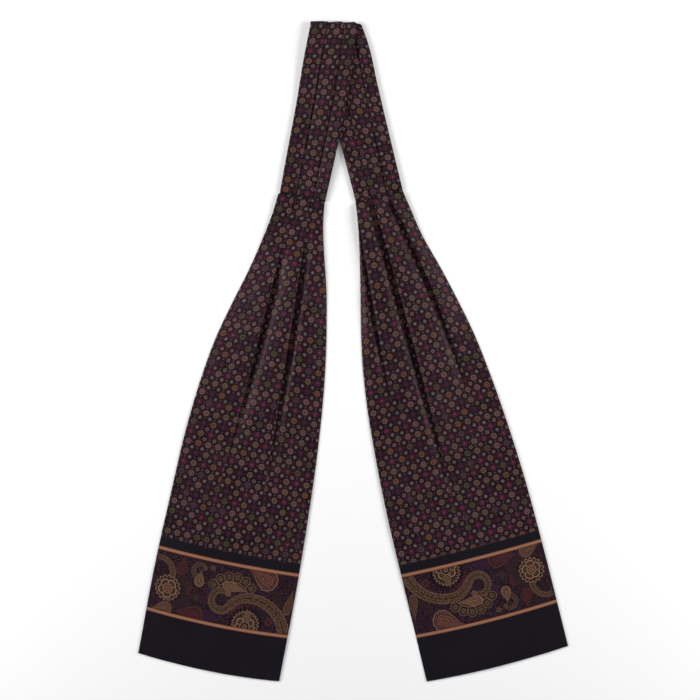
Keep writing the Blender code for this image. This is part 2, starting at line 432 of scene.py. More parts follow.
def upper_base(plan, along, cloth):
    lift = LIFT * ease(1.0 + lower_band_distance(plan) / LIFT_RUN)
    return BASE + lift + puckers(along, cloth)


def lower_base(plan, along, cloth):
    return BASE + puckers(along, cloth)


def no_border(cloth, along):
    return cloth, np.full(len(cloth), -1.0)


NEAR_SEAM = [0.0, 0.0006, 0.0013, 0.0022, 0.0036]
band_alongs = np.concatenate([NEAR_SEAM, np.linspace(0.0055, BAND_LENGTH, 56)])
left_band_rows = sheet_rows(
    BAND_LEFT, band_alongs, band_section(BAND_LEFT, BAND_SHARES_LEFT, False), upper_base, False,
    lambda along: -along, no_border,
)
right_band_rows = sheet_rows(
    BAND_RIGHT, band_alongs, band_section(BAND_RIGHT, BAND_SHARES_RIGHT, True), lower_base, True,
    lambda along: along - 2 * (BAND_LENGTH + FOLD_DEPTH), no_border,
)
# The upper half runs from seam to fold and is stacked downwards, so its faces point out.
neckband_left = cloth_object("neckband_left_cloth", left_band_rows[::-1])
neckband_right = cloth_object("neckband_right_cloth", right_band_rows[::-1])

# %% [markdown]
# ## The top fold
# Where the neckband turns over, each layer goes round its own half circle, the outer
# ones wide and the inner ones tight. Joining the last row of the upper half to the last row of
# the lower half point by point gives every layer its own turn.

# %% The turn
TURN_STEPS = 14
TURN_SLACK, TURN_BULGE = 0.0019, 1.12  # the fold is not pressed hard


def turn_rows():
    """Rows that carry each layer of the upper half round into the lower half."""
    upper, lower = left_band_rows[-1], right_band_rows[-1]
    middle = (upper.centres + lower.centres) / 2
    reach = (upper.centres[:, 2] - lower.centres[:, 2]) / 2
    rows = []
    for step in range(TURN_STEPS + 1):
        t = step / TURN_STEPS
        angle = math.pi * t
        share = float(ease(t))
        centres = upper.centres * (1 - share) + lower.centres * share
        centres[:, 1] += reach * TURN_BULGE * math.sin(angle) + TURN_SLACK * math.sin(angle)
        centres[:, 2] = middle[:, 2] + reach * math.cos(angle)
        flat = upper.normals[:, :1] * math.cos(angle)
        normals = np.column_stack([
            flat, upper.normals[:, 2] * math.sin(angle), upper.normals[:, 2] * math.cos(angle),
        ])
        cloth = upper.across * (1 - share) + lower.across * share
        along = upper.along - (math.pi * FOLD_DEPTH / 2) * t
        rows.append(Row(centres, normals, cloth, along, no_border(cloth, 0)))
    return rows


neckband_fold = cloth_object("neckband_fold_cloth", turn_rows()[::-1])

# %% [markdown]
# ## The blades
# Below a tack seam three folds fan out. Each row of the table is one fold: where it starts and
# ends, where its edge lies across the blade at both ends and half way, how high its crest
# stands, and how much of the hidden cloth it takes. Crests rise from the seam, are highest
# about a hand's breadth below it, and fade into the flat.

# %% Fold tables
SEAM_GRIP = 0.0055  # how far below the seam the stitches still hold the folds shut
Fold = namedtuple("Fold", "opens full end at_start at_middle at_end crest rounding share valley shoulder")
FOLDS_LEFT = (
    Fold(0.032, 0.095, 0.300, -0.0084, -0.0150, -0.0240, 0.0074, 0.0016, 1.0, 0.0105, 0.0056),
    Fold(0.024, 0.090, 0.300, 0.0078, 0.0150, 0.0200, 0.0078, 0.0017, 1.0, 0.0105, 0.0060),
    Fold(0.000, 0.040, 0.120, 0.0215, 0.2000, 0.2000, 0.0016, 0.0003, 0.8, 0.0, 0.0),
)
FOLDS_RIGHT = (
    Fold(-0.065, 0.080, 0.225, -0.0082, -0.0290, -0.0370, 0.0070, 0.0016, 1.0, 0.0080, 0.0052),
    Fold(-0.065, 0.090, 0.330, 0.0072, 0.0030, 0.0030, 0.0084, 0.0019, 1.2, 0.0100, 0.0066),
    Fold(-0.055, 0.090, 0.240, 0.0236, 0.0330, 0.0400, 0.0060, 0.0014, 1.0, 0.0070, 0.0042),
)


def fold_edge(fold, along):
    """Where a fold's edge lies: a parabola through its three places, then straight on."""
    t = min(along / fold.end, 1.1)
    bend = fold.at_middle - (fold.at_start + fold.at_end) / 2
    return fold.at_start + (fold.at_end - fold.at_start) * t + 4 * bend * t * (1 - t)


def blade_section(strip, folds, mirrored):
    """A function that gives a blade's section at any distance."""
    def at(along):
        left, right = edges_at(strip, along, mirrored)
        pleats = []
        for fold in folds:
            t = along / fold.end
            seam = BAND_CREST * pinch(along) * (1 - ease(t / 0.30))
            opened = ease((along - fold.opens) / (fold.full - fold.opens))
            opened *= 1.0 - math.exp(-(along / SEAM_GRIP) ** 2)
            rise = opened * (1 - ease((t - 0.45) / 0.55))
            crest = seam + fold.crest * rise + 0.00006
            rounding = min(BAND_ROUNDING + fold.rounding * ease(t / 0.45), crest * 0.24)
            edge = min(fold_edge(fold, along), right - 0.0004)
            share = fold.share * (1 - ease((t - 0.55) / 0.45))
            puff = rise if fold.valley > 0 else 0.0
            pleats.append(Pleat(edge, crest, rounding, share, fold.valley, fold.shoulder, puff))
        edge_height = BAND_CREST * pinch(along) * 0.95 * (1 - ease(along / 0.070))
        depth = closing_depth(left, right, pleats, edge_height)
        return resampled(zigzag(left, right, pleats, edge_height, depth))
    return at


# %% Both blades
PRINT_END_LEFT, PRINT_END_RIGHT = 0.3490, 0.3515
BORDER_MIDDLE_LEFT, BORDER_MIDDLE_RIGHT = 0.3896, 0.3923
ROW_STEP = 0.0022
SWELL = 0.0009  # height of the low swells in the flat cloth


def soft_waves(plan, along, cloth):
    """Low uneven swells that pressed silk keeps when it lies flat."""
    strength = SWELL * float(ease((along - 0.05) / 0.20))
    swell = [noise.noise(Vector((x * 16, y * 9, 3.1))) + 0.35 * noise.noise(Vector((x * 45, y * 24, 7.7)))
             for x, y in plan]
    return BASE + strength * (0.6 + np.array(swell)) + 1.6 * puckers(along, cloth)


def alongs_for(strip, print_end):
    """Distances of the rows, with one exactly where the all-over print ends."""
    field = np.linspace(0.0055, print_end, round(print_end / ROW_STEP))
    border = np.linspace(print_end, strip.length, round((strip.length - print_end) / ROW_STEP))
    return np.concatenate([NEAR_SEAM, field, border[1:]]), len(NEAR_SEAM) + len(field) - 1


def blade(name, strip, folds, mirrored, print_end, cloth_at, border_at):
    """A blade with its field and border faces told apart by material slot."""
    alongs, last_field = alongs_for(strip, print_end)
    rows = sheet_rows(
        strip, alongs, blade_section(strip, folds, mirrored), soft_waves, mirrored,
        cloth_at, border_at,
    )
    piece = cloth_object(name, rows)
    ring = 2 * COLUMNS + 2
    slots = np.zeros(len(piece.data.polygons), dtype=np.int32)
    slots[last_field * ring:(len(rows) - 1) * ring] = 1
    slots[-COLUMNS - 1:] = 1
    piece.data.polygons.foreach_set("material_index", slots)
    return piece


def left_border(cloth, along):
    return cloth, np.full(len(cloth), along - BORDER_MIDDLE_LEFT)


def right_border(cloth, along):
    return CLOTH_WIDTH - cloth, np.full(len(cloth), BORDER_MIDDLE_RIGHT - along)


blade_left = blade(
    "blade_left_cloth", BLADE_LEFT, FOLDS_LEFT, False, PRINT_END_LEFT,
    lambda along: along, left_border,
)
blade_right = blade(
    "blade_right_cloth", BLADE_RIGHT, FOLDS_RIGHT, True, PRINT_END_RIGHT,
    lambda along: -along - 2 * (BAND_LENGTH + FOLD_DEPTH), right_border,
)

# %% [markdown]
# ## Nodes for the print
# The silk is printed with blocks or screens: first the ground, then one colour after another on top.
# The materials do the same. A node group is one block. It takes the colour that is already on
# the cloth and gives back the colour after its own motif is printed over it.

# %% One function that adds a node
MATH, VECTORS, MIX = "ShaderNodeMath", "ShaderNodeVectorMath", "ShaderNodeMix"
RAMP, CELLS = "ShaderNodeValToRGB", "ShaderNodeTexVoronoi"
# Every mixing node here mixes colours, and every cell pattern lies flat on the cloth.
ALWAYS = {MIX: {"data_type": "RGBA"}, CELLS: {"voronoi_dimensions": "2D"}}


def add(tree, kind, *inputs, **settings):
    """Add one node with its settings and links.

    A word before the inputs is the node's operation. Inputs fill the sockets in use in order, or
    come as one dictionary. Each is a value, a hex colour, or the node or socket to link from.
    """
    node = tree.nodes.new(kind)
    if inputs and isinstance(inputs[0], str) and inputs[0][0] != "#":
        node.operation, *inputs = inputs
    for setting, value in {**ALWAYS.get(kind, {}), **settings}.items():
        setattr(node, setting, value)
    if inputs and isinstance(inputs[0], dict):
        given_to = [(node.inputs[name], value) for name, value in inputs[0].items()]
    else:
        given_to = zip([socket for socket in node.inputs if socket.enabled], inputs)
    for socket, value in given_to:
        if isinstance(value, bpy.types.Node):
            tree.links.new(next(out for out in value.outputs if out.enabled), socket)
        elif isinstance(value, bpy.types.NodeSocket):
            tree.links.new(value, socket)
        else:
            socket.default_value = linear(value) if isinstance(value, str) else value
    return node


def shade_stops(ramp, stops, interpolation):
    """Fill a Color Ramp from (place, ink) rows. An ink is a hex colour, a grey or four channels."""
    ramp.color_ramp.interpolation = interpolation
    points = ramp.color_ramp.elements
    while len(points) < len(stops):
        points.new(1.0)
    for point, (at, *ink) in zip(points, stops):
        point.position = at
        if isinstance(ink[0], str):
            ink = linear(ink[0])
        point.color = ink if len(ink) == 4 else (*ink * 3, 1.0)
    return ramp


def polar(tree, point):
    """The angle and the distance of a point from its motif's middle."""
    parts = add(tree, "ShaderNodeSeparateXYZ", point)
    return add(tree, MATH, "ARCTAN2", parts.outputs[1], parts), add(tree, VECTORS, "LENGTH", point)


def block(name, inputs):
    """A node group for one printing block, with its inputs and a Colour output."""
    tree = bpy.data.node_groups.new(name, "ShaderNodeTree")
    for title, kind in inputs:
        tree.interface.new_socket(title, in_out="INPUT", socket_type=kind)
    tree.interface.new_socket("Colour", in_out="OUTPUT", socket_type="NodeSocketColor")
    return tree, tree.nodes.new("NodeGroupInput").outputs


COLOUR, VECTOR, NUMBER = "NodeSocketColor", "NodeSocketVector", "NodeSocketFloat"
print("node groups so far:", len(bpy.data.node_groups))

# %% [markdown]
# ## The all-over print
# Small rings stand on a square lattice 9.9 mm apart. A medallion sits in the middle of each
# square, and a tiny dot between each two rings. In every three rows two alternate crimson
# discs with ringed medallions, and the third has ringed ones only. Rounding the cloth's own
# coordinates down gives the number of each square, and noise on that number picks its ink.

# %% The block for the all-over print
PITCH = 9.9 * MM
field, given = block("foulard_field", (("Point", VECTOR),))
centre = (0.5, 0.5, 0.0)
square = add(field, VECTORS, "FLOOR", given["Point"])
within = add(field, VECTORS, "FRACTION", given["Point"])
within = add(field, VECTORS, "SUBTRACT", within, centre)
angle, reach = polar(field, within)
angle = add(field, MATH, "MULTIPLY", angle, 8.0)
petal = add(field, MATH, "COSINE", angle)
# Eight shallow petals: the radius swells by a twentieth, eight times round.
petal = add(field, MATH, "MULTIPLY_ADD", petal, 0.05, 1.0)
petal_reach = add(field, MATH, "MULTIPLY", reach, petal)

# Which ink: noise on the square's number.
ink = add(field, "ShaderNodeTexWhiteNoise", {"Vector": square})
MEDALLION_INKS = (
    (0.00, "#6c5446"), (0.24, "#6c4934"), (0.36, "#4b4432"), (0.50, "#6c4d4c"), (0.74, "#5d4c44"),
    (0.90, "#43303c"),
)
medallion_ink = shade_stops(add(field, RAMP, ink), MEDALLION_INKS, "CONSTANT")
# How strong it is at each distance from the middle, in lattice steps: eye, dark ring, petals, edge.
medallion_tone = shade_stops(add(field, RAMP, petal_reach), [
    (0.00, 1.0), (0.055, 0.9), (0.105, 0.12), (0.155, 0.2), (0.205, 0.9), (0.265, 0.55), (0.325, 0.0),
], "EASE")
# Crimson squares: (row mod 3) equals twice (column mod 2).
number = add(field, "ShaderNodeSeparateXYZ", square)
row = add(field, MATH, "FLOORED_MODULO", number.outputs[1], 3.0)
column = add(field, MATH, "FLOORED_MODULO", number.outputs[0], 2.0)
column = add(field, MATH, "MULTIPLY", column, 2.0)
crimson = add(field, MATH, "COMPARE", row, column, 0.5)
crimson_disc = shade_stops(add(field, RAMP, reach), [
    (0.00, "#a56474"), (0.045, "#783048"), (0.09, "#3c1626"), (0.17, "#321422"), (0.235, "#4c2236"),
    (0.30, "#1a0f15"),
], "EASE")
plum_disc = add(field, MIX, 0.55, crimson_disc, "#261a28")
strong = add(field, MATH, "GREATER_THAN", ink, 0.35)
crimson_disc = add(field, MIX, strong, plum_disc, crimson_disc)

# The ground, and the tiny dots at the middles of the lattice's sides.
ground = add(field, "ShaderNodeTexNoise", {"Vector": given["Point"], "Scale": 0.9})
printed = shade_stops(
    add(field, RAMP, ground), [(0.35, "#180f13"), (0.65, "#24141b")], "LINEAR",
)
for shift, dot_ink in (((0.0, 0.5, 0.0), "#443c41"), ((0.5, 0.0, 0.0), "#402824")):
    shifted = add(field, VECTORS, "ADD", given["Point"], shift)
    shifted = add(field, VECTORS, "FRACTION", shifted)
    near = add(field, VECTORS, "DISTANCE", shifted, centre)
    dot = add(field, MATH, "LESS_THAN", near, 0.075)
    printed = add(field, MIX, dot, printed, dot_ink)

# The small rings on the lattice points, some filled and some open.
lattice = add(field, VECTORS, "ADD", given["Point"], centre)
knot = add(field, VECTORS, "FLOOR", lattice)
lattice = add(field, VECTORS, "FRACTION", lattice)
knot_reach = add(field, VECTORS, "DISTANCE", lattice, centre)
chance = add(field, "ShaderNodeTexWhiteNoise", {"Vector": knot})
ring_ink = shade_stops(add(field, RAMP, chance), [
    (0.0, "#6c5c62"), (0.3, "#5a585c"), (0.6, "#6a4e54"), (0.8, "#5c5046"),
], "CONSTANT")
filled_ring = shade_stops(add(field, RAMP, knot_reach), [
    (0.00, 1.0), (0.05, 1.0), (0.10, 0.30), (0.145, 0.60), (0.19, 0.0),
], "EASE")
open_ring = shade_stops(add(field, RAMP, knot_reach), [
    (0.00, 0.05), (0.07, 0.1), (0.11, 1.0), (0.16, 0.8), (0.19, 0.0),
], "EASE")
open_one = add(field, MATH, "GREATER_THAN", chance, 0.62)
ring_tone = add(field, MIX, open_one, filled_ring, open_ring)
printed = add(field, MIX, ring_tone, printed, ring_ink)

# The medallions go over the rest.
ringed = add(field, MIX, medallion_tone, printed, medallion_ink)
on_disc = add(field, MATH, "LESS_THAN", reach, 0.31)
crimson_here = add(field, MATH, "MULTIPLY", on_disc, crimson)
plain_here = add(field, MIX, crimson, ringed, printed)
printed = add(field, MIX, crimson_here, plain_here, crimson_disc)
# Ink takes unevenly, so some squares are a little paler than others.
uneven = add(field, "ShaderNodeMapRange", {0: ink, 3: 0.82, 4: 1.16})
printed = add(field, VECTORS, "SCALE", printed, uneven)
add(field, "NodeGroupOutput", {"Colour": printed})
print(field.name, "has", len(field.nodes), "nodes")

# %% [markdown]
# ## The paisley band
# Each blade ends in a band 57 mm deep between two tan stripes, above a plain hem. Its motifs
# come from four blocks: a boteh, which is the curled teardrop, a flower seen from above, a
# beaded arc that the great S is made of, and a fan of little loops. Every block works on
# coordinates in which its motif is one unit in size, so one block serves for small and large.

# %% The boteh block
INKS = (
    ("Under", COLOUR), ("Point", VECTOR), ("Rim", COLOUR), ("Body", COLOUR), ("Core", COLOUR),
    ("Shape", NUMBER),
)
# Layers from a motif's heart to its edge, as (place, rim, body, core, printed).
LEAF_LAYERS = (
    (0.00, 0, 1, 0, 1), (0.14, 1, 0, 0, 1), (0.20, 0, 0, 1, 1), (0.42, 1, 0, 0, 1), (0.49, 0, 0, 0, 1),
    (0.54, 0, 1, 0, 1), (0.80, 0, 0, 0, 1), (0.85, 1, 0, 0, 1), (0.97, 0, 0, 0, 1), (1.00, 0, 0, 0, 0),
)
BEAD_LAYERS = (
    (0.00, 0, 0, 1, 1), (0.08, 0, 1, 0, 1), (0.74, 0, 0, 0, 1), (0.80, 1, 0, 0, 1), (0.94, 0, 0, 0, 1),
    (1.00, 0, 0, 0, 0),
)


def print_layers(tree, given, layer, layers, bead=None):
    """Colour the motif from its layer number: 0 at its heart, 1 at its edge, bare cloth beyond."""
    weights = shade_stops(add(tree, RAMP, layer), layers, "CONSTANT")
    split = add(tree, "ShaderNodeSeparateColor", weights)
    body = given["Body"]
    if bead is not None:
        body = add(tree, MIX, bead, body, given["Rim"])
    dyed = "#150e13"
    for channel, ink in ((2, given["Core"]), (1, body), (0, given["Rim"])):
        dyed = add(tree, MIX, split.outputs[channel], dyed, ink)
    over = add(tree, MIX, weights.outputs["Alpha"], given["Under"], dyed)
    add(tree, "NodeGroupOutput", {"Colour": over})


boteh, given = block("boteh", INKS)
place_in = add(boteh, "ShaderNodeSeparateXYZ", given["Point"])
up = add(boteh, MATH, "MAXIMUM", place_in.outputs[1], 0.0)
down = add(boteh, MATH, "MINIMUM", place_in.outputs[1], 0.0)
bend = add(boteh, MATH, "MULTIPLY", up, up)
bend = add(boteh, MATH, "MULTIPLY", bend, given["Shape"])
straight = add(boteh, MATH, "SUBTRACT", place_in, bend)
off = add(boteh, "ShaderNodeCombineXYZ", straight, down)
off = add(boteh, VECTORS, "LENGTH", off)
# The tail narrows to a point 2.6 head radii above the head.
taper = add(boteh, "ShaderNodeMapRange", up, 0.0, 2.6, 1.0, 0.02, interpolation_type="SMOOTHSTEP")
layer = add(boteh, MATH, "DIVIDE", off, taper)
past_tip = add(boteh, MATH, "GREATER_THAN", up, 2.5)
layer = add(boteh, MATH, "MULTIPLY_ADD", past_tip, 2.0, layer)
sweep = add(boteh, MATH, "ARCTAN2", straight, place_in.outputs[1])
sweep = add(boteh, MATH, "MULTIPLY", sweep, 11.0)
scallop = add(boteh, MATH, "SINE", sweep)
layer = add(boteh, MATH, "MULTIPLY_ADD", scallop, 0.035, layer)
beads = add(boteh, CELLS, {"Vector": given["Point"], "Scale": 6.0, "Randomness": 0.35})
bead = add(boteh, MATH, "LESS_THAN", beads, 0.30)
print_layers(boteh, given, layer, LEAF_LAYERS, bead)
print(boteh.name, "has", len(boteh.nodes), "nodes")

# %% The flower block
flower, given = block("flower", INKS)
turned, reach = polar(flower, given["Point"])
turned = add(flower, MATH, "MULTIPLY", turned, given["Shape"])
turned = add(flower, MATH, "MULTIPLY", turned, 0.5)
petal = add(flower, MATH, "COSINE", turned)
petal = add(flower, MATH, "ABSOLUTE", petal)
# A petal is full in its middle and drawn in between: 0.84 to 1 of the flower's radius.
lobe = add(flower, "ShaderNodeMapRange", petal, 0.0, 1.0, 0.84, 1.0, interpolation_type="SMOOTHSTEP")
layer = add(flower, MATH, "DIVIDE", reach, lobe)
vein = add(flower, MATH, "LESS_THAN", petal, 0.20)
outer = add(flower, MATH, "GREATER_THAN", layer, 0.30)
vein = add(flower, MATH, "MULTIPLY", vein, outer)
print_layers(flower, given, layer, LEAF_LAYERS, vein)
print(flower.name, "has", len(flower.nodes), "nodes")

# %% The beaded arc and the fan of loops
arc, given = block("beaded_arc", INKS + (("Half turn", NUMBER), ("Taper", NUMBER)))
turned, reach = polar(arc, given["Point"])
swept = add(arc, MATH, "DIVIDE", turned, given["Half turn"])
off = add(arc, MATH, "SUBTRACT", reach, 1.0)
off = add(arc, MATH, "ABSOLUTE", off)
# Shape is the half width, and Taper is how much it grows from the start to the end.
half_width = add(arc, MATH, "MULTIPLY_ADD", swept, given["Taper"], given["Shape"])
layer = add(arc, MATH, "DIVIDE", off, half_width)
# Beads and scallops are in proportion to the width, whatever the arc's radius.
fineness = add(arc, MATH, "DIVIDE", 2.4, given["Shape"])
scallop = add(arc, MATH, "MULTIPLY", turned, fineness)
scallop = add(arc, MATH, "MULTIPLY", scallop, 3.0)
scallop = add(arc, MATH, "SINE", scallop)
layer = add(arc, MATH, "MULTIPLY_ADD", scallop, 0.07, layer)
# Both ends are cut straight, so that two arcs meet without a line between them.
ends = add(arc, MATH, "ABSOLUTE", swept)
ends = add(arc, MATH, "GREATER_THAN", ends, 1.0)
layer = add(arc, MATH, "MULTIPLY_ADD", ends, 2.0, layer)
along_arc = add(arc, "ShaderNodeCombineXYZ", turned, reach)
beads = add(arc, CELLS, {"Vector": along_arc, "Scale": fineness, "Randomness": 0.55})
bead = add(arc, MATH, "LESS_THAN", beads, 0.27)
print_layers(arc, given, layer, BEAD_LAYERS, bead)

fan, given = block("fan_of_loops", INKS + (("Half turn", NUMBER),))
turned, reach = polar(fan, given["Point"])
# Shape is the radius of a loop, and two loops touch at twice that.
step = add(fan, MATH, "MULTIPLY", given["Shape"], 2.0)
nearest = add(fan, MATH, "SNAP", turned, step)
nearest = add(fan, MATH, "ADD", nearest, given["Shape"])
sideways = add(fan, MATH, "SUBTRACT", turned, nearest)
outward = add(fan, MATH, "SUBTRACT", reach, 1.0)
# Outside the row a loop is round, and inside it has straight sides, like a little arch.
round_part = add(fan, MATH, "MAXIMUM", outward, 0.0)
inward = add(fan, MATH, "MULTIPLY", outward, -0.75)
off = add(fan, "ShaderNodeCombineXYZ", sideways, round_part)
off = add(fan, VECTORS, "LENGTH", off)
off = add(fan, MATH, "MAXIMUM", off, inward)
layer = add(fan, MATH, "DIVIDE", off, given["Shape"])
ends = add(fan, MATH, "ABSOLUTE", nearest)
ends = add(fan, MATH, "GREATER_THAN", ends, given["Half turn"])
layer = add(fan, MATH, "ADD", layer, ends)
print_layers(fan, given, layer, LEAF_LAYERS)
print(arc.name, "has", len(arc.nodes), "nodes and", fan.name, len(fan.nodes))

# %% [markdown]
# ## Where the motifs go
# Sizes are millimetres of cloth. The first number is the distance from the blade's left edge
# and the second the distance below the upper stripe, on the left blade. The right blade
# carries the same band turned half round, because both are cut from one strip. Later rows
# print over earlier ones.

# %% The motif table
TAN, GOLD, SAND = "#664c3d", "#392a20", "#7c5f4a"
BROWN, RUST, MAROON = "#231815", "#4f2b25", "#38141d"
PLUM, VIOLET, NIGHT, OLIVE = "#201422", "#2b2039", "#111018", "#343024"
Motif = namedtuple("Motif", "block x y size turn shape rim body core wide half taper", defaults=(1.0, 0, 0))
MOTIF_ROWS = (
    (boteh, 27, 13, 5.6, 195, 0.10, RUST, PLUM, MAROON),
    (boteh, 57, 27, 4.4, 160, -0.12, VIOLET, MAROON, PLUM),
    (boteh, 35, 29, 4.6, 14, 0.12, RUST, BROWN, PLUM),
    (boteh, 62, 52, 5.6, 96, 0.10, VIOLET, PLUM, MAROON),
    (boteh, 88, 41, 5.0, 60, 0.10, RUST, MAROON, PLUM),
    (fan, 128, 22, 8.0, 150, 0.22, GOLD, PLUM, BROWN, 1.0, 1.3),
    (fan, 31, 44, 8.0, -20, 0.22, GOLD, PLUM, BROWN, 1.0, 1.3),
    (flower, 56.4, 5.7, 2.6, 0, 6, TAN, OLIVE, BROWN),
    (flower, 65, 4.5, 2.0, 30, 5, GOLD, VIOLET, MAROON),
    (flower, 45, 37, 2.6, 0, 6, GOLD, OLIVE, PLUM),
    (flower, 54, 38, 3.4, 0, 5, VIOLET, BROWN, MAROON),
    (fan, 17, 35, 17.0, 18, 0.135, GOLD, PLUM, BROWN, 1.0, 1.25),
    (boteh, 17.5, 53.5, 6.4, 80, 0.06, TAN, RUST, GOLD),
    (boteh, 47, 53.0, 8.0, 84, -0.05, RUST, PLUM, MAROON),
    (arc, 5, 21, 14.0, -38, 0.20, TAN, GOLD, BROWN, 1.0, 1.15, 0.03),
    (flower, 16.5, 34, 13.0, 12, 17, TAN, BROWN, PLUM),
    (flower, 16.5, 34.5, 9.6, 16, 5, SAND, GOLD, RUST),
    (arc, 44.5, 11, 6.4, 190, 0.34, TAN, BROWN, GOLD, 1.0, 2.2, -0.08),
    (boteh, 45.5, 21.5, 4.8, 170, -0.10, SAND, GOLD, MAROON),
    (flower, 49, 7.6, 2.3, 0, 5, TAN, RUST, BROWN),
    (fan, 79, 33, 23.5, -94, 0.187, TAN, BROWN, OLIVE, 1.0, 0.96),
    (boteh, 112, 8.5, 9.2, 118, 0.04, TAN, MAROON, RUST, 1.15),
    (flower, 97, 53, 17.0, 0, 25, NIGHT, NIGHT, NIGHT),
    (flower, 97, 53, 14.0, 0, 23, TAN, BROWN, PLUM),
    (flower, 97, 55, 10.4, 12, 7, SAND, GOLD, BROWN),
    (boteh, 97.5, 47, 3.8, 180, 0.03, SAND, BROWN, GOLD),
    (flower, 119, 47, 4.4, 0, 4, MAROON, RUST, PLUM),
    (arc, 69.8, 34.2, 9.6, 164, 0.365, TAN, GOLD, BROWN, 1.0, 2.374, -0.073),
    (arc, 98, 50.5, 23.0, -120.5, 0.20, TAN, GOLD, BROWN, 1.0, 0.55, 0.0174),
    (arc, 98, 65.8, 38.3, -51, 0.1436, TAN, GOLD, BROWN, 1.0, 0.70, 0.013),
    (boteh, 75.5, 27.0, 2.6, 150, 0.05, SAND, RUST, BROWN),
    (boteh, 76, 19.5, 7.6, -86, -0.05, SAND, GOLD, RUST, 0.62),
    (boteh, 135, 31, 7.6, 188, 0.02, TAN, BROWN, MAROON, 0.55),
)
MOTIFS = [Motif(*row) for row in MOTIF_ROWS]
print(len(MOTIFS), "motifs in the band")

# %% [markdown]
# ## Silk twill
# Printed silk twill has a quiet gloss from its smooth filament yarns, and fine diagonal ribs.
# Sheen gives the pale rim that silk shows where it turns away. The real ribs are about
# 0.3 mm apart, too fine to show at this distance, so they are drawn 0.9 mm apart and very low.

# %% The silk's surface, for any printed colour
TWILL_PITCH = 0.9 * MM
TWILL_WAVES = 2 * math.pi / (20.0 * TWILL_PITCH)  # a wave texture turns 20 radians per unit


def silk_twill(name, colour_from):
    """Printed silk twill. colour_from builds the print in the material and returns its colour."""
    material = bpy.data.materials.new(name)
    material.use_nodes = True
    tree = material.node_tree
    tree.nodes.clear()
    colour = colour_from(tree)
    cloth = add(tree, "ShaderNodeUVMap", uv_map="Cloth")
    diagonal = add(tree, "ShaderNodeMapping", {0: cloth, "Rotation": (0, 0, math.radians(63))})
    ribs = add(tree, "ShaderNodeTexWave", {
        "Vector": diagonal, "Scale": TWILL_WAVES, "Distortion": 0.6, "Detail": 1.0,
    })
    slubs = add(tree, "ShaderNodeTexNoise", {"Vector": cloth, "Scale": 260.0, "Detail": 3.0})
    height = add(tree, MATH, "ADD", ribs.outputs["Fac"], slubs)
    weave = add(tree, "ShaderNodeBump", {"Height": height, "Strength": 0.35, "Distance": 0.00006})
    # Handling leaves patches that are a touch glossier than the rest.
    patches = add(tree, "ShaderNodeTexNoise", {"Vector": cloth, "Scale": 22.0})
    gloss = add(tree, "ShaderNodeMapRange", patches, 0.3, 0.7, 0.40, 0.54)
    shader = add(tree, "ShaderNodeBsdfPrincipled", {
        "Base Color": colour, "Roughness": gloss, "Normal": weave, "Specular IOR Level": 0.16,
        "Specular Tint": "#e2c2c2", "Sheen Weight": 0.05, "Sheen Roughness": 0.35,
        "Sheen Tint": "#b9a6ae",
    })
    add(tree, "ShaderNodeOutputMaterial", {"Surface": shader})
    print(name, "has", len(tree.nodes), "nodes")
    return material


# %% The two printed colours
HALF_PAISLEY = 28.5  # millimetres from the band's middle to a stripe
STRIPE = 3.3
# The stripe's inks, by the millimetres past its inner edge. Plain navy lies beyond it.
STRIPE_INKS = (
    (-0.5, "#1c0d13"), (0.0, "#754c39"), (0.8, "#8c634d"), (2.5, "#754c39"), (STRIPE, "#241018"),
    (STRIPE + 0.5, "#141319"),
)


def field_colour(tree):
    """Rings and medallions, at their real spacing on the cloth."""
    cloth = add(tree, "ShaderNodeUVMap", uv_map="Cloth")
    in_steps = add(tree, VECTORS, "SCALE", cloth, 1.0 / PITCH)
    return add(tree, "ShaderNodeGroup", {"Point": in_steps}, node_tree=field)


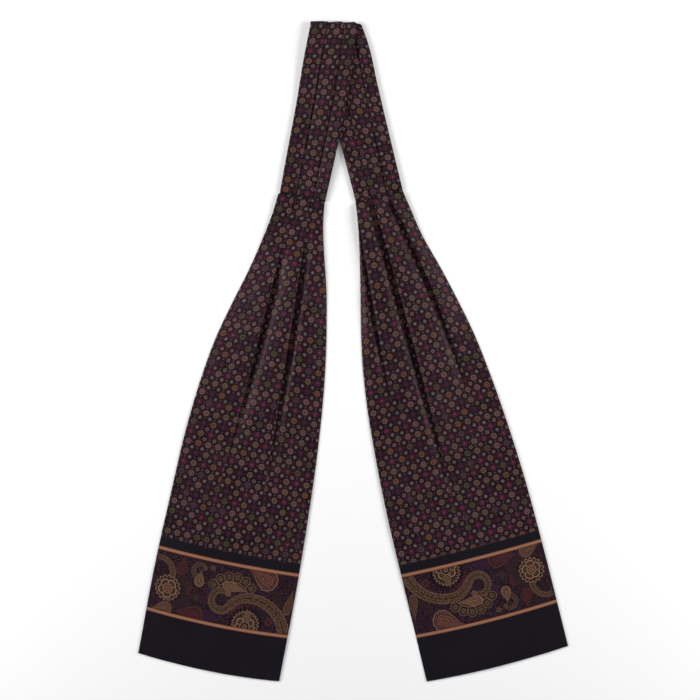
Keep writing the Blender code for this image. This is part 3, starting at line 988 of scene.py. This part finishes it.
def border_colour(tree):
    """The paisley band, its two tan stripes and the plain navy beyond them."""
    band = add(tree, "ShaderNodeUVMap", uv_map="Border")
    in_mm = add(tree, VECTORS, "SCALE", band, 1.0 / MM)
    down_band = add(tree, VECTORS, "ADD", in_mm, (0, HALF_PAISLEY, 0))
    mottle = add(tree, "ShaderNodeTexNoise", {"Vector": down_band, "Scale": 0.09, "Detail": 2.5})
    inked = shade_stops(add(tree, RAMP, mottle), [
        (0.30, "#0e0e16"), (0.46, "#1d1017"), (0.56, "#17121f"), (0.66, "#28131c"),
    ], "EASE")
    seeds = add(tree, CELLS, {"Vector": down_band, "Scale": 0.30, "Randomness": 0.9})
    seed = add(tree, MATH, "LESS_THAN", seeds, 0.20)
    seed = add(tree, MATH, "MULTIPLY", seed, 0.55)
    inked = add(tree, MIX, seed, inked, "#463036")
    # Thin stems wander between the motifs, along the level lines of a soft noise.
    stems = add(tree, "ShaderNodeTexNoise", {"Vector": down_band, "Scale": 0.11, "Detail": 0.0})
    stems = add(tree, MATH, "MULTIPLY", stems, 9.0)
    stems = add(tree, MATH, "FRACT", stems)
    stem = add(tree, MATH, "COMPARE", stems, 0.5, 0.09)
    stem = add(tree, MATH, "MULTIPLY", stem, 0.6)
    inked = add(tree, MIX, stem, inked, "#40282a")
    for motif in MOTIFS:
        at_motif = add(tree, "ShaderNodeMapping", {
            "Vector": down_band, "Location": (motif.x, motif.y, 0),
            "Rotation": (0, 0, math.radians(motif.turn)),
            "Scale": (motif.size * motif.wide, motif.size, 1),
        }, vector_type="TEXTURE")
        wanted = {
            "Under": inked, "Point": at_motif, "Rim": motif.rim, "Body": motif.body, "Core": motif.core,
            "Shape": motif.shape,
        }
        if motif.half:
            wanted["Half turn"] = motif.half
        if motif.taper:
            wanted["Taper"] = motif.taper
        inked = add(tree, "ShaderNodeGroup", wanted, node_tree=motif.block)
    across_band = add(tree, "ShaderNodeSeparateXYZ", in_mm)
    from_middle = add(tree, MATH, "ABSOLUTE", across_band.outputs[1])
    in_fortieths = add(tree, MATH, "DIVIDE", from_middle, 40.0)
    frame_inks = shade_stops(
        add(tree, RAMP, in_fortieths),
        [(0.0, 0, 0, 0, 0)] + [((HALF_PAISLEY + past) / 40, ink) for past, ink in STRIPE_INKS],
        "CONSTANT",
    )
    return add(tree, MIX, frame_inks.outputs["Alpha"], inked, frame_inks)


# %% Both silks on the cloth
field_silk = silk_twill("silk_twill_foulard_print", field_colour)
border_silk = silk_twill("silk_twill_paisley_border", border_colour)
for piece in (blade_left, blade_right, neckband_left, neckband_right, neckband_fold):
    piece.data.materials.append(field_silk)
for piece in (blade_left, blade_right):
    piece.data.materials.append(border_silk)

# %% [markdown]
# ## Tack stitches
# At each tack seam the pleats are laid over one another and caught down by a row of short
# stitches in dark silk thread. On the table that can be done in a minute by hand: up through
# all layers, 2 mm along, and down again. Here Geometry Nodes walks along the seam in equal
# steps and sets one stitch at each step, turned a little either way as handwork is.

# %% Paths on the cloth
SEAM_POINTS = 48
STITCH_SIDE_MARGIN = 0.0012  # the first and last stitch stay this far inside the cloth


def seam_path(strip, piece, along):
    """Points across a strip, on the upper face of its cloth."""
    left, right = edges_at(strip, along)
    across = np.linspace(left + STITCH_SIDE_MARGIN, right - STITCH_SIDE_MARGIN, SEAM_POINTS)
    down = Vector((0, 0, -1))
    hits = [piece.ray_cast(Vector((x, y, 0.03)), down) for x, y in place(strip, along, across)]
    return [where for found, where, _, _ in hits if found]


bpy.context.view_layer.update()
SEWN_AT = 0.0004  # metres inside the neckband's end
paths = [seam_path(BAND_LEFT, neckband_left, SEWN_AT), seam_path(BAND_RIGHT, neckband_right, SEWN_AT)]
path_mesh = bpy.data.meshes.new("seam_paths")
corners, steps = [], []
for path in paths:
    steps += [(len(corners) + k, len(corners) + k + 1) for k in range(len(path) - 1)]
    corners += path
path_mesh.from_pydata(corners, steps, [])
seam_paths = placed("seam_paths", path_mesh)
print("seam paths have", [len(path) for path in paths], "points")

# %% The row of stitches
def plain_material(name, colour, roughness, specular):
    """A material of one colour, set on its shader's own sockets."""
    material = bpy.data.materials.new(name)
    material.use_nodes = True
    sockets = material.node_tree.nodes["Principled BSDF"].inputs
    sockets["Base Color"].default_value = linear(colour)
    sockets["Roughness"].default_value = roughness
    sockets["Specular IOR Level"].default_value = specular
    return material


# Spun thread scatters more light than the cloth's filament yarns, so it stays dull. It is made near black:
# partly the thread's own dark colour, partly painted shade of the groove at the seam.
thread = plain_material("dark_thread_and_seam_shade", "#0b080a", 0.8, 0.15)
row = bpy.data.node_groups.new("row_of_stitches", "GeometryNodeTree")
row.interface.new_socket("Path", in_out="INPUT", socket_type="NodeSocketGeometry")
# Stitch length equals spacing, so the stitches join into one continuous dark line: thread, and also painted
# shade of the seam's groove.
for title, kind, value in (
    ("Spacing", NUMBER, 0.0026), ("Stitch length", NUMBER, 0.0026), ("Thread radius", NUMBER, 0.00038),
    ("Lean", NUMBER, 0.08), ("Seed", "NodeSocketInt", 7), ("Thread", "NodeSocketMaterial", thread),
):
    socket = row.interface.new_socket(title, in_out="INPUT", socket_type=kind)
    socket.default_value = value
row.interface.new_socket("Stitches", in_out="OUTPUT", socket_type="NodeSocketGeometry")
wanted = row.nodes.new("NodeGroupInput").outputs
curve = add(row, "GeometryNodeMeshToCurve", {"Mesh": wanted["Path"]})
stepped = add(
    row, "GeometryNodeResampleCurve", {"Curve": curve, "Length": wanted["Spacing"]}, mode="LENGTH",
)
tangent = add(row, "GeometryNodeInputTangent")
lean_back = add(row, MATH, "MULTIPLY", wanted["Lean"], -1.0)
lean = add(row, "FunctionNodeRandomValue", {2: lean_back, 3: wanted["Lean"], "Seed": wanted["Seed"]})
along_seam = add(row, "FunctionNodeAlignEulerToVector", {"Vector": tangent}, axis="X", pivot_axis="Z")
turn = add(row, "ShaderNodeCombineXYZ", {2: lean})
turned = add(row, "FunctionNodeRotateEuler", along_seam, turn, space="OBJECT")
half_length = add(row, MATH, "MULTIPLY", wanted["Stitch length"], 0.5)
size = add(row, "ShaderNodeCombineXYZ", half_length, wanted["Thread radius"], wanted["Thread radius"])
capsule = add(row, "GeometryNodeMeshUVSphere", {"Segments": 12, "Rings": 8, "Radius": 1.0})
stitches = add(row, "GeometryNodeInstanceOnPoints", {
    "Points": stepped, "Instance": capsule, "Rotation": turned, "Scale": size,
})
real = add(row, "GeometryNodeRealizeInstances", stitches)
dyed = add(row, "GeometryNodeSetMaterial", {"Geometry": real, "Material": wanted["Thread"]})
add(row, "NodeGroupOutput", {0: dyed})

# The modifier's inputs are set by socket identifier, before it is first evaluated.
sewing = seam_paths.modifiers.new("row_of_stitches", "NODES")
sewing.node_group = row
for item in row.interface.items_tree:
    if item.item_type == "SOCKET" and item.in_out == "INPUT" and item.socket_type != "NodeSocketGeometry":
        sewing[item.identifier] = item.default_value
bpy.context.view_layer.update()
sewn = seam_paths.evaluated_get(bpy.context.evaluated_depsgraph_get())
stitch_mesh = bpy.data.meshes.new_from_object(sewn)
stitch_mesh.name = "tack_stitches"
tack_stitches = placed("tack_stitches", stitch_mesh)
bpy.data.objects.remove(seam_paths)
print("stitches have", len(stitch_mesh.polygons), "faces")

# %% [markdown]
# ## Table, and the cloths in place of the solids
# The cravat lies on plain matt paper, which belongs to the stage and not to the part. Each cloth
# then takes the place of its CAD solid, which is hidden.

# %% Floor
floor_mesh = bpy.data.meshes.new("table")
floor_mesh.from_pydata([(-3, -3, 0), (3, -3, 0), (3, 3, 0), (-3, 3, 0)], [], [(0, 1, 2, 3)])
floor = placed("table", floor_mesh)
floor_mesh.materials.append(plain_material("white_paper", "#f4f4f4", 0.9, 0.5))

# %% Tie every piece to the frame
TURN_CUT = 0.0092  # length of the cloth in the turn
PIECES = (
    (blade_left, "blade_left", "blade_silk", 0.4640, None),
    (blade_right, "blade_right", "blade_silk", 0.4675, None),
    (neckband_left, "neckband_left", "neckband_silk", BAND_LENGTH, None),
    (neckband_right, "neckband_right", "neckband_silk", BAND_LENGTH, None),
    # A cut shorter than 10 mm is given by its area.
    (neckband_fold, "neckband_fold", "neckband_silk", 0.0100, CLOTH_WIDTH * TURN_CUT),
)
for piece, node, slot, length, area in PIECES:
    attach(piece, "root")
    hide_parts(node)
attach(tack_stitches, "root")
